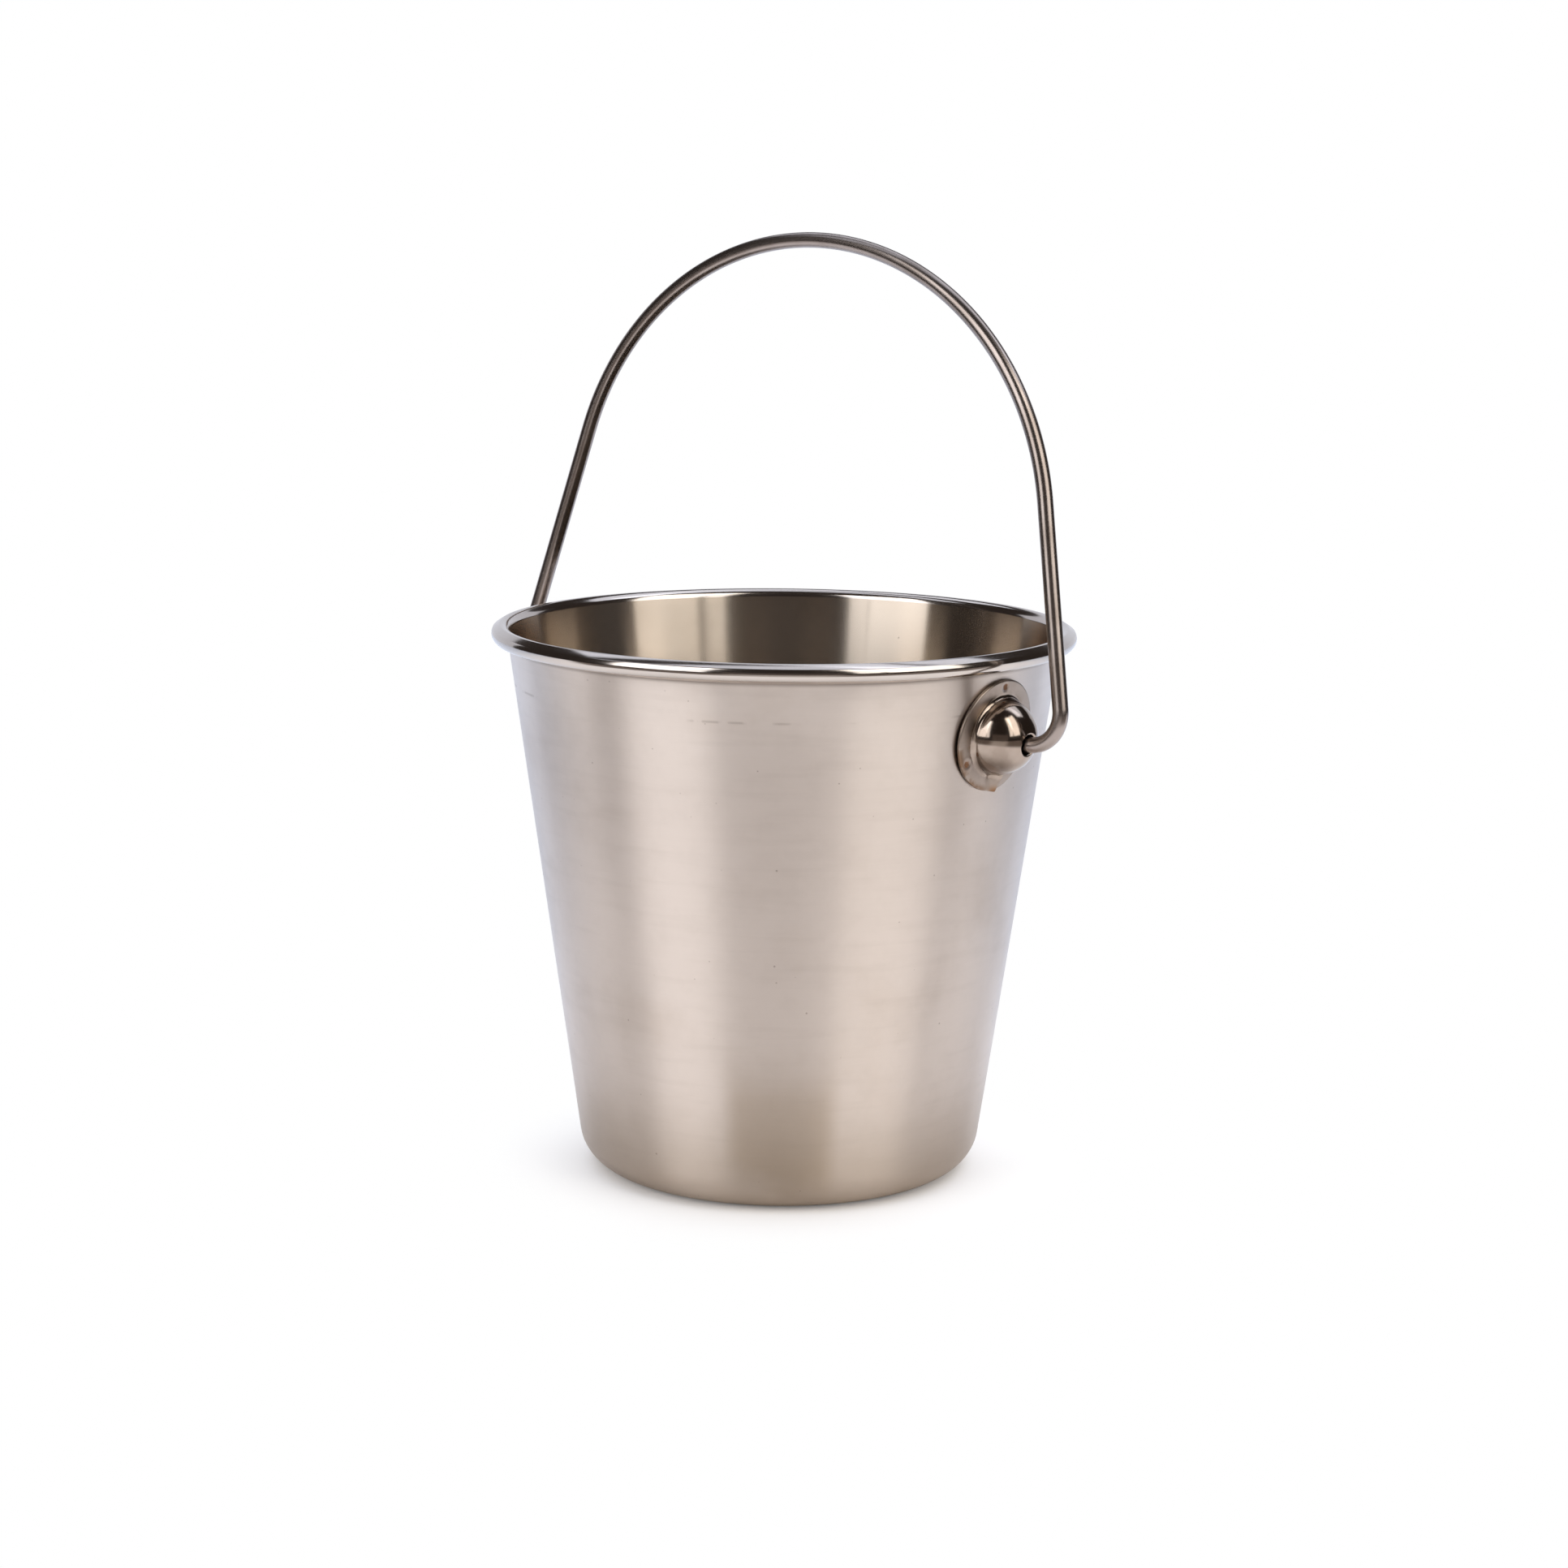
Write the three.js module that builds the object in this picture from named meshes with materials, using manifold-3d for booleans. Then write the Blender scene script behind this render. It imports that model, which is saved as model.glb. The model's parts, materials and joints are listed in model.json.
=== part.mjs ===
// A small stainless-steel milk pail: a seamless drawn cup with a rolled rim, two spot-welded domed
// ears, and a wire bail whose turned-in ends are held inside the domes.
// Millimetres, +Z up. The origin is the centre of the underside. The bail turns about an axis along X.

import * as THREE from "three";
import { mergeVertices } from "three/addons/utils/BufferGeometryUtils.js";
import Module from "manifold-3d";

const wasm = await Module();
wasm.setup();

const DEGREE = Math.PI / 180;

// Driving dimensions of the cup.
const HEIGHT = 123; // underside to the top of the rim
const RIM_RADIUS = 65; // outside of the rolled rim
const SHEET = 0.7; // thickness of the drawn sheet
const ROLL_RADIUS = 2.05; // outside radius of the rim's curl
const ROLL_END = -122 * DEGREE; // where the curl stops, just short of the wall
const WALL_FLARE = 8.17 * DEGREE; // how far the wall leans out from upright
const BASE_CORNER = 9; // outside radius of the corner between wall and base

// Driving dimensions of an ear.
const EAR_BELOW_RIM = 18.2; // rim's top to the middle of the flange
const EAR_SHEET = 0.8;
const EAR_GAP = 0.3; // gap between the flange's back and the wall
const FLANGE_RADIUS = 12.2;
const DOME_RADIUS = 8.3;
const DOME_STANDOFF = 0.9; // centre of the dome's sphere, out from the flange's back
const DOME_FILLET = 0.9; // radius where the dome runs out into the flange
const HOLE_RADIUS = 2.25; // hole in the dome's crown, larger than the wire
const DRAIN_HALF_WIDTH = 1.6; // pressed channel from the dome down to the flange's edge
const DRAIN_AT_DOME = 2.5; // how far the channel stands up at the dome
const DRAIN_AT_EDGE = 0.9; // and at the flange's edge
const DRAIN_START = 7.6; // distance below the ear's middle where the channel leaves the dome

// Driving dimensions of the bail, in its own plane: s along the pivot line, h above it.
const WIRE_RADIUS = 1.7;
const PIVOT_BELOW_RIM = 19.3;
const ARCH_HALF_WIDTH = 68; // the arch is a little flatter than a circle
const ARCH_HALF_HEIGHT = 62.8;
const ARCH_CENTRE_H = 40.9;
const ARCH_CENTRE_S = 1;
const RIGHT_LEG_LEAN = 9.9 * DEGREE; // each leg leans in towards the arch
const LEFT_LEG_LEAN = 18.1 * DEGREE; // hand-bent wire: the left leg leans in more
const BEND_RADIUS = 7.1; // bend between leg and turned-in end
const BAIL_REST_LEAN = 4.1 * DEGREE; // the bail stands a little back, towards +Y
const WIRE_END_RIGHT = 61.2; // where the turned-in wire ends, from the middle
const WIRE_END_LEFT = 65.6;
const HEAD_RADIUS = 2.8; // upset head, too large for the hole
const HEAD_THICKNESS = 1.5;

// Facet counts.
const CUP_SEGMENTS = 72;
const ROLL_STEPS = 11;
const CORNER_STEPS = 5;
const EAR_SEGMENTS = 60;
const WIRE_SIDES = 10;
const HEAD_SEGMENTS = 16;
const HOLE_SEGMENTS = 24;

const PIVOT_Z = HEIGHT - PIVOT_BELOW_RIM;
const ROLL_CENTRE = new THREE.Vector2(RIM_RADIUS - ROLL_RADIUS, HEIGHT - ROLL_RADIUS);

// Colour, roughness and metalness of each finish.
const satinSteel = () =>
  new THREE.MeshStandardMaterial({ color: 0xc4b8ae, roughness: 0.42, metalness: 1 });
const polishedSteel = () =>
  new THREE.MeshStandardMaterial({ color: 0xb9aea4, roughness: 0.2, metalness: 1 });
const drawnWire = () =>
  new THREE.MeshStandardMaterial({ color: 0x9a9086, roughness: 0.28, metalness: 1 });

// Points of a circular arc from one angle to another, both ends included.
function arcPoints(centre, radius, from, to, steps) {
  return Array.from({ length: steps + 1 }, (_, i) => {
    const angle = from + ((to - from) * i) / steps;
    return new THREE.Vector2(
      centre.x + radius * Math.cos(angle),
      centre.y + radius * Math.sin(angle),
    );
  });
}

// A closed mesh as a solid that can be cut and joined.
function toSolid(geometry) {
  const bare = geometry.clone();
  bare.deleteAttribute("normal");
  bare.deleteAttribute("uv");
  const merged = mergeVertices(bare, 1e-4);
  return new wasm.Manifold(
    new wasm.Mesh({
      numProp: 3,
      vertProperties: new Float32Array(merged.attributes.position.array),
      triVerts: new Uint32Array(merged.index.array),
    }),
  );
}

// A solid back as a geometry with flat facets.
function toGeometry(solid) {
  const mesh = solid.getMesh();
  const indexed = new THREE.BufferGeometry();
  indexed.setAttribute("position", new THREE.BufferAttribute(mesh.vertProperties, 3));
  indexed.setIndex(new THREE.BufferAttribute(mesh.triVerts, 1));
  const flat = indexed.toNonIndexed();
  flat.computeVertexNormals();
  return flat;
}

// Radius of the cup's wall at a height. The wall's two faces touch the curl's inner and outer circles,
// so each is a straight line at a fixed distance from the curl's centre.
function wallRadius(z, distanceFromRollCentre) {
  const atCentre = ROLL_CENTRE.x - distanceFromRollCentre / Math.cos(WALL_FLARE);
  return atCentre + (z - ROLL_CENTRE.y) * Math.tan(WALL_FLARE);
}

const outerWallRadius = (z) => wallRadius(z, ROLL_RADIUS - SHEET);

// The cup is one turned profile: underside, corner, outer wall, round the inside of the curl, back
// round its outside, inner wall, inner corner and floor.
function cupGeometry() {
  const cornerCentre = new THREE.Vector2(
    outerWallRadius(BASE_CORNER) - BASE_CORNER / Math.cos(WALL_FLARE),
    BASE_CORNER,
  );
  const wallNormal = -WALL_FLARE;
  const rollStart = Math.PI - WALL_FLARE;
  const bottom = -Math.PI / 2;
  const outerCorner = arcPoints(cornerCentre, BASE_CORNER, bottom, wallNormal, CORNER_STEPS);
  const innerCorner = arcPoints(
    cornerCentre, BASE_CORNER - SHEET, wallNormal, bottom, CORNER_STEPS,
  );
  const curlInside = arcPoints(
    ROLL_CENTRE, ROLL_RADIUS - SHEET, rollStart, ROLL_END, ROLL_STEPS,
  );
  const curlOutside = arcPoints(ROLL_CENTRE, ROLL_RADIUS, ROLL_END, rollStart, ROLL_STEPS);
  const profile = [
    new THREE.Vector2(0, 0),
    ...outerCorner,
    ...curlInside,
    ...curlOutside,
    ...innerCorner,
    new THREE.Vector2(0, SHEET),
  ];
  const geometry = new THREE.LatheGeometry(profile, CUP_SEGMENTS);
  geometry.rotateX(Math.PI / 2);
  return geometry;
}

// The ear's section about its own axis: the inner face from the crown out and down to the flange's
// back, then the flange's front, the fillet and the dome's outer face up to the crown.
function earProfile() {
  const sphere = new THREE.Vector2(0, DOME_STANDOFF);
  const innerRadius = DOME_RADIUS - EAR_SHEET;
  const filletRise = EAR_SHEET + DOME_FILLET - DOME_STANDOFF;
  const filletReach = Math.sqrt((DOME_RADIUS + DOME_FILLET) ** 2 - filletRise ** 2);
  const filletCentre = new THREE.Vector2(filletReach, EAR_SHEET + DOME_FILLET);
  const filletAngle = Math.atan2(filletRise, filletReach);
  const backFilletRadius = EAR_SHEET + DOME_FILLET;
  const innerFace = arcPoints(sphere, innerRadius, Math.PI / 2, filletAngle, 7);
  const backFillet = arcPoints(
    filletCentre, backFilletRadius, Math.PI + filletAngle, 1.5 * Math.PI, 2,
  );
  const flange = [
    new THREE.Vector2(FLANGE_RADIUS, 0),
    new THREE.Vector2(FLANGE_RADIUS, EAR_SHEET),
    new THREE.Vector2((FLANGE_RADIUS + filletReach) / 2, EAR_SHEET),
  ];
  const frontFillet = arcPoints(
    filletCentre, DOME_FILLET, 1.5 * Math.PI, Math.PI + filletAngle, 2,
  );
  const outerFace = arcPoints(sphere, DOME_RADIUS, filletAngle, Math.PI / 2, 8);
  return [...innerFace, ...backFillet.slice(1), ...flange, ...frontFillet, ...outerFace.slice(1)];
}

// How far the drain channel lifts a point of the ear at (across, up) from the ear's middle.
function drainLift(across, up) {
  const below = -up;
  if (below < DRAIN_START || Math.abs(across) > DRAIN_HALF_WIDTH) return 0;
  const run = THREE.MathUtils.clamp((below - DOME_RADIUS) / (FLANGE_RADIUS - DOME_RADIUS), 0, 1);
  const ridge = THREE.MathUtils.lerp(DRAIN_AT_DOME, DRAIN_AT_EDGE, run);
  const rise = THREE.MathUtils.smoothstep(below, DRAIN_START, DOME_RADIUS + 0.5);
  const crossing = Math.cos((across / DRAIN_HALF_WIDTH) * (Math.PI / 2));
  return ridge * rise * crossing;
}

// How far the round wall falls away behind a point at (across, up), measured along the ear's axis.
function wallFallAway(across, up) {
  const earZ = HEIGHT - EAR_BELOW_RIM;
  const radius = outerWallRadius(earZ) / Math.cos(WALL_FLARE) + up * Math.sin(WALL_FLARE);
  return radius - Math.sqrt(radius ** 2 - across ** 2);
}

// One ear, on the +X side. Its axis stands square to the wall, so it points out and a little down.
function earSolid() {
  const geometry = new THREE.LatheGeometry(earProfile(), EAR_SEGMENTS);
  const position = geometry.attributes.position;
  for (let i = 0; i < position.count; i += 1) {
    const up = position.getX(i);
    const across = position.getZ(i);
    const reach = Math.hypot(up, across);
    const follow = THREE.MathUtils.smoothstep(reach, DOME_RADIUS / 2, DOME_RADIUS + DOME_FILLET);
    const shift = drainLift(across, up) - follow * wallFallAway(across, up);
    position.setY(i, position.getY(i) + shift);
  }
  // Local X (up), Y (out) and Z (across) go to the wall's slope line, its outward normal and tangent.
  const slopeUp = new THREE.Vector3(Math.sin(WALL_FLARE), 0, Math.cos(WALL_FLARE));
  const outward = new THREE.Vector3(Math.cos(WALL_FLARE), 0, -Math.sin(WALL_FLARE));
  const tangent = new THREE.Vector3().crossVectors(slopeUp, outward);
  const place = new THREE.Matrix4().makeBasis(slopeUp, outward, tangent);
  const earZ = HEIGHT - EAR_BELOW_RIM;
  const seat = new THREE.Vector3(outerWallRadius(earZ), 0, earZ);
  place.setPosition(seat.addScaledVector(outward, EAR_GAP));
  geometry.applyMatrix4(place);

  const hole = new THREE.CylinderGeometry(HOLE_RADIUS, HOLE_RADIUS, DOME_RADIUS, HOLE_SEGMENTS);
  hole.rotateZ(Math.PI / 2);
  hole.translate(RIM_RADIUS + DOME_RADIUS / 2, 0, PIVOT_Z);
  return toSolid(geometry).subtract(toSolid(hole));
}

// Where on the arch, as the ellipse's own angle, the wire leans in as much as a leg does.
function archTurnAtLean(lean) {
  return Math.atan((ARCH_HALF_HEIGHT / ARCH_HALF_WIDTH) * Math.tan(lean));
}

// The wire's centreline in its own plane, as straight and round stretches from the right end to the
// left. Each stretch gives its point and direction at a fraction of its length, and its facet steps.
function bailStretches() {
  const side = (sign, lean, wireEnd) => {
    const turn = archTurnAtLean(lean);
    const top = {
      s: ARCH_CENTRE_S + sign * ARCH_HALF_WIDTH * Math.cos(turn),
      h: ARCH_CENTRE_H + ARCH_HALF_HEIGHT * Math.sin(turn),
    };
    const cornerS = Math.abs(top.s) + top.h * Math.tan(lean);
    const tangentLength = BEND_RADIUS * Math.tan((Math.PI / 2 + lean) / 2);
    const stubS = cornerS - tangentLength;
    const bendTop = {
      s: sign * (cornerS - tangentLength * Math.sin(lean)),
      h: tangentLength * Math.cos(lean),
    };
    return { sign, lean, top, bendTop, stub: { s: sign * stubS, h: 0 }, end: { s: sign * wireEnd, h: 0 } };
  };
  const right = side(1, RIGHT_LEG_LEAN, WIRE_END_RIGHT);
  const left = side(-1, LEFT_LEG_LEAN, WIRE_END_LEFT);
  const line = (from, to, steps) => ({
    steps,
    at: (f) => ({ s: from.s + (to.s - from.s) * f, h: from.h + (to.h - from.h) * f }),
    along: () => ({ s: to.s - from.s, h: to.h - from.h }),
  });
  const ellipse = (centre, halfWidth, halfHeight, from, to, steps) => ({
    steps,
    at: (f) => {
      const angle = from + (to - from) * f;
      return { s: centre.s + halfWidth * Math.cos(angle), h: centre.h + halfHeight * Math.sin(angle) };
    },
    along: (f) => {
      const angle = from + (to - from) * f;
      return { s: -halfWidth * Math.sin(angle), h: halfHeight * Math.cos(angle) };
    },
  });
  const bend = (end, from, to) =>
    ellipse({ s: end.stub.s, h: BEND_RADIUS }, BEND_RADIUS, BEND_RADIUS, from, to, 7);
  const archCentre = { s: ARCH_CENTRE_S, h: ARCH_CENTRE_H };
  const archStart = archTurnAtLean(RIGHT_LEG_LEAN);
  const archEnd = Math.PI - archTurnAtLean(LEFT_LEG_LEAN);
  return [
    line(right.end, right.stub, 1),
    bend(right, -Math.PI / 2, RIGHT_LEG_LEAN),
    line(right.bendTop, right.top, 2),
    ellipse(archCentre, ARCH_HALF_WIDTH, ARCH_HALF_HEIGHT, archStart, archEnd, 32),
    line(left.top, left.bendTop, 2),
    bend(left, Math.PI - LEFT_LEG_LEAN, 1.5 * Math.PI),
    line(left.stub, left.end, 1),
  ];
}

// The centreline in space. It is stepped through by facet steps, not by length, so that the tight
// bends get as many facets as they need.
class BailCurve extends THREE.Curve {
  constructor(stretches) {
    super();
    this.stretches = stretches;
    this.steps = stretches.reduce((sum, stretch) => sum + stretch.steps, 0);
  }

  locate(t) {
    let step = THREE.MathUtils.clamp(t, 0, 1) * this.steps;
    for (const stretch of this.stretches) {
      if (step <= stretch.steps + 1e-9) return { stretch, f: Math.min(step / stretch.steps, 1) };
      step -= stretch.steps;
    }
    return { stretch: this.stretches.at(-1), f: 1 };
  }

  getPoint(t, target = new THREE.Vector3()) {
    const { stretch, f } = this.locate(t);
    const point = stretch.at(f);
    return target.set(point.s, 0, point.h);
  }

  getTangent(t, target = new THREE.Vector3()) {
    const { stretch, f } = this.locate(t);
    const direction = stretch.along(f);
    return target.set(direction.s, 0, direction.h).normalize();
  }

  getPointAt(u, target) {
    return this.getPoint(u, target);
  }

  getTangentAt(u, target) {
    return this.getTangent(u, target);
  }
}

// The upset head on a turned-in end: a short button about the wire's own line.
function headSolid(endS) {
  const bevel = HEAD_THICKNESS / 4;
  const profile = [
    new THREE.Vector2(0, -HEAD_THICKNESS / 2),
    new THREE.Vector2(HEAD_RADIUS - bevel, -HEAD_THICKNESS / 2),
    new THREE.Vector2(HEAD_RADIUS, -HEAD_THICKNESS / 2 + bevel),
    new THREE.Vector2(HEAD_RADIUS, HEAD_THICKNESS / 2),
    new THREE.Vector2(0, HEAD_THICKNESS / 2),
  ];
  const geometry = new THREE.LatheGeometry(profile, HEAD_SEGMENTS);
  geometry.rotateZ(Math.sign(endS) * (-Math.PI / 2));
  geometry.translate(endS, 0, 0);
  return toSolid(geometry);
}

function bailSolid() {
  const curve = new BailCurve(bailStretches());
  const section = new THREE.Shape(
    arcPoints(new THREE.Vector2(), WIRE_RADIUS, 0, 2 * Math.PI, WIRE_SIDES).slice(0, -1),
  );
  const wire = new THREE.ExtrudeGeometry(section, {
    steps: curve.steps,
    bevelEnabled: false,
    extrudePath: curve,
  });
  return toSolid(wire).add(headSolid(WIRE_END_RIGHT)).add(headSolid(-WIRE_END_LEFT));
}

// A named mesh from a geometry and a material.
function part(name, geometry, material) {
  const mesh = new THREE.Mesh(geometry, material);
  mesh.name = name;
  return mesh;
}

const milkPail = new THREE.Group();
milkPail.add(part("pail_body", cupGeometry(), satinSteel()));

const earGeometry = toGeometry(earSolid());
milkPail.add(part("ear_right", earGeometry, polishedSteel()));
const earLeft = part("ear_left", earGeometry.clone(), polishedSteel());
earLeft.rotation.z = Math.PI;
milkPail.add(earLeft);

const bail = new THREE.Group();
bail.position.z = PIVOT_Z;
bail.rotation.x = -BAIL_REST_LEAN;
bail.add(part("bail_wire", toGeometry(bailSolid()), drawnWire()));
milkPail.add(bail);

export default milkPail;
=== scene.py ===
"""Looks of the milk pail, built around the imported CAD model.

The drawn cup, the two stamped ears and the wire bail are rebuilt as fine meshes on the CAD's own
dimensions, with procedural steel materials. Lengths are in metres: a number of millimetres is
written with MM behind it, or has _mm in its name.
"""

import json
import math

import bmesh
import bpy
import numpy as np
from mathutils import Matrix, Vector


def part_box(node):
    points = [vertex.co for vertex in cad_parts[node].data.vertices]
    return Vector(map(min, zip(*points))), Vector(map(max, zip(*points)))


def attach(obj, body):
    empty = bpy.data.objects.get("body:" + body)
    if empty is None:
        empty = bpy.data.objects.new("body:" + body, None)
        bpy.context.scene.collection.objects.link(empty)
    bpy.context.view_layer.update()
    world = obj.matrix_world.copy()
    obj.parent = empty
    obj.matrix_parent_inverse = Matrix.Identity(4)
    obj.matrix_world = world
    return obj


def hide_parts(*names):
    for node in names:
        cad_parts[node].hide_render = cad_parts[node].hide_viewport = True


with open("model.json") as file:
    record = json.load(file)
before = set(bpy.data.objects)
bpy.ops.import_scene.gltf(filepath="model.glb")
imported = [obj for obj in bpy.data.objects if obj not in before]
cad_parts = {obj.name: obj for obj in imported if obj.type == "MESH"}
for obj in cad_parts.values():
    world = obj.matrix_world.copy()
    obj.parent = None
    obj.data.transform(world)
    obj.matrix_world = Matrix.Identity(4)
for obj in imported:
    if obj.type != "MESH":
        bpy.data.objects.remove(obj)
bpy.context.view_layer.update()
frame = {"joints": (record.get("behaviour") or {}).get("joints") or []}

MM = 0.001
TURN = 2 * math.pi

# The cup, from the frame's own box and the sheet it is drawn from.
_, cup_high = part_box("pail_body")
HEIGHT = cup_high.z
RIM_RADIUS = cup_high.x
SHEET = 0.7 * MM
ROLL_RADIUS = 2.05 * MM  # of the bead, outside
ROLL_END = math.radians(-122)  # where the curl ends, underneath
FLAT_ANGLE = math.radians(57)  # where the rolling tool left a slight flat on the bead
FLAT_HALF_ANGLE = math.radians(24)
FLAT_DEPTH_SHARE = 0.85
WALL_FLARE = math.radians(8.17)
BASE_CORNER = 9 * MM
ROLL_CENTRE_R = RIM_RADIUS - ROLL_RADIUS
ROLL_CENTRE_Z = HEIGHT - ROLL_RADIUS
WALL_WAVES = (  # height in mm, waves round the wall, phase, and how far they shift up the wall
    (0.030, 3, 0.6, 1.3),
    (0.018, 7, 2.1, -2.2),
    (0.010, 13, 4.0, 6.0),
    (0.008, 5, 0.0, 17.0),
)
DASH_RING_Z = HEIGHT - 12.9 * MM  # a faint ring of dashes round the wall
DARK_REFLECTION_AZIMUTH = math.radians(41)  # the side of the wall with a painted dark reflection near its foot

# The ears.
EAR_Z = HEIGHT - 18.2 * MM
EAR_SHEET = 0.8 * MM
EAR_SEAT = 0.12 * MM  # the flange's back off the wall at its middle
EAR_ROUND_EDGE = 0.30 * MM
FLANGE_RADIUS = 12.2 * MM
FLANGE_FOLLOW = 0.72  # how far the flange follows the round of the wall
DOME_RADIUS = 8.3 * MM
DOME_STANDOFF = 0.9 * MM
DOME_FILLET = 0.9 * MM
HOLE_RADIUS = 2.25 * MM
DOME_FOOT = 9.3 * MM  # where the dome's fillet runs into the flange
DRAIN_HALF_WIDTH = 1.84 * MM  # where the channel's sides run out
DRAIN_AT_DOME = 2.5 * MM  # the channel's height there
DRAIN_AT_EDGE = 0.9 * MM
DRAIN_START = (7.0 * MM, 8.2 * MM)  # below the ear's middle: it begins to rise, and has risen
DRAIN_SOFTNESS = 0.25 * MM  # rounds the crease where the channel meets the dome and the flange
WELD_ANGLES = (0.0, 120.0, 240.0)  # degrees from straight up
WELD_REACH = 10.7 * MM  # distance of each weld from the ear's middle
WELD_RADIUS = 1.35 * MM
WELD_DEPTH = 0.16 * MM
WELD_RIM_HEIGHT = 0.05 * MM
WELD_RIM_WIDTH = 0.35 * MM
DOME_PATCH_UP = -5.8 * MM  # a darker patch low on each dome
DOME_PATCH_ACROSS = 5.2 * MM
DOME_PATCH_SIZE = 2.9 * MM

# The bail, in its own plane: s along the pivot line, h above it.
PIVOT_Z = frame["joints"][0]["pos_m"][2]
WIRE_RADIUS = 1.7 * MM
ARCH_CENTRE = (1.0 * MM, 40.9 * MM)
ARCH_HALF_WIDTH = 68.0 * MM
ARCH_HALF_HEIGHT = 62.8 * MM
RIGHT_LEG_LEAN = math.radians(9.9)
LEFT_LEG_LEAN = math.radians(18.1)
BEND_RADIUS = 7.1 * MM
BAIL_REST_LEAN = math.radians(4.1)
WIRE_END_RIGHT = 61.2 * MM
WIRE_END_LEFT = 65.6 * MM
HEAD_RADIUS = 2.8 * MM
HEAD_THICKNESS = 1.5 * MM
HEAD_SHAPE = (  # place in half thicknesses, and radius in head radii; the wire follows
    (-1, 0.01),
    (-1, 0.79),
    (-0.93, 0.93),
    (-0.75, 1),
    (0.6, 1),
    (0.9, 0.93),
    (1, 0.7),
    (1.3, WIRE_RADIUS / HEAD_RADIUS),
)

# Mesh fineness.
CUP_SEGMENTS = 288
EAR_SEGMENTS = 180
WIRE_SIDES = 28
FLOOR_SIDES = 96

# The camera stands in front (-Y), well round towards the right ear, and looks a little down.
CAMERA_AZIMUTH = math.radians(40.5)
CAMERA_ELEVATION = 10.4  # degrees
CAMERA_DISTANCE = 0.75
CAMERA_ROLL = math.radians(0.62)
CAMERA_AIM_RIGHT = 0.3 * MM
CAMERA_AIM_Z = 86.6 * MM
CAMERA_LENS = 76.7
CAMERA_SENSOR = 36.0

FLOOR_RADIUS = 1.0
LIGHT_DISTANCE = 1.3


# ---------------------------------------------------------------- meshes


def arc(centre, radius, start, end, steps):
    """Points of a circular arc, both ends included."""
    return ellipse(centre, radius, radius, start, end, steps)


def ellipse(centre, half_width, half_height, start, end, steps):
    """Points of an elliptical arc, both ends included."""
    angles = np.linspace(start, end, steps + 1)
    across = centre[0] + half_width * np.cos(angles)
    along = centre[1] + half_height * np.sin(angles)
    return np.stack([across, along], 1)


def straight(start, end, steps):
    """Points of a straight line, both ends included."""
    share = np.linspace(0, 1, steps + 1)[:, None]
    return np.asarray(start) * (1 - share) + np.asarray(end) * share


def join(stretches):
    """The points of stretches that each start where the one before ends."""
    return np.concatenate([points[:-1] for points in stretches] + [stretches[-1][-1:]])


def join_tagged(stretches):
    """Joins stretches, each given as (points, tag), and tells the tag of every point's stretch."""
    points = join([points for points, tag in stretches])
    tags = np.concatenate([np.full(len(points) - 1, tag) for points, tag in stretches])
    return points, np.append(tags, stretches[-1][1])


def smooth(value, low, high):
    """0 below low, 1 above high, and an S-shaped rise between."""
    t = np.clip((value - low) / (high - low), 0, 1)
    return t * t * (3 - 2 * t)


def bell(distance, width):
    """1 at no distance, falling to 0 in a bell curve."""
    return np.exp(-((distance / width) ** 2))


def ring_angles(count):
    return np.arange(count) * TURN / count


def grid_faces(rows, columns, close_rows=False):
    """Quads between rows of points, each row a closed ring. close_rows joins the last to the
    first."""
    row = np.arange(rows if close_rows else rows - 1)[:, None]
    column = np.arange(columns)[None, :]
    next_row = (row + 1) % rows
    next_column = (column + 1) % columns
    corners = [
        row * columns + column,
        row * columns + next_column,
        next_row * columns + next_column,
        next_row * columns + column,
    ]
    return np.stack([np.broadcast_to(c, (row.size, columns)) for c in corners], -1).reshape(-1, 4)


def make_piece(name, points, faces, materials, face_materials=None):
    """A smooth-shaded mesh object."""
    mesh = bpy.data.meshes.new(name)
    mesh.from_pydata(np.asarray(points).tolist(), [], [list(map(int, f)) for f in faces])
    for material in materials:
        mesh.materials.append(material)
    if face_materials is not None:
        mesh.polygons.foreach_set("material_index", np.asarray(face_materials, np.int32))
    mesh.polygons.foreach_set("use_smooth", np.ones(len(mesh.polygons), bool))
    mesh.update()
    piece = bpy.data.objects.new(name, mesh)
    bpy.context.scene.collection.objects.link(piece)
    return piece


def face_outwards(piece):
    """Turns every face of a closed mesh outwards."""
    mesh = bmesh.new()
    mesh.from_mesh(piece.data)
    bmesh.ops.recalc_face_normals(mesh, faces=mesh.faces)
    mesh.to_mesh(piece.data)
    mesh.free()


def add_mask(piece, name, values):
    """A number per point, for a material to read."""
    attribute = piece.data.attributes.new(name, "FLOAT", "POINT")
    attribute.data.foreach_set("value", np.asarray(values, np.float32).reshape(-1))


# ---------------------------------------------------------------- the cup


def wall_radius(z, from_roll_centre):
    """Radius of one face of the wall, which lies that far inside the curl's centre."""
    at_centre = ROLL_CENTRE_R - from_roll_centre / math.cos(WALL_FLARE)
    return at_centre + (z - ROLL_CENTRE_Z) * math.tan(WALL_FLARE)


def outer_wall_radius(z):
    return wall_radius(z, ROLL_RADIUS - SHEET)


def wall_wave(theta, z):
    """Faint unevenness of the drawn sheet, outwards, the same for both of its faces."""
    wave = 0
    for height_mm, count, phase, shift in WALL_WAVES:
        wave = wave + height_mm * MM * np.sin(count * theta + phase + shift * z / HEIGHT)
    return wave * smooth(z, 2 * MM, 20 * MM)


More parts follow.
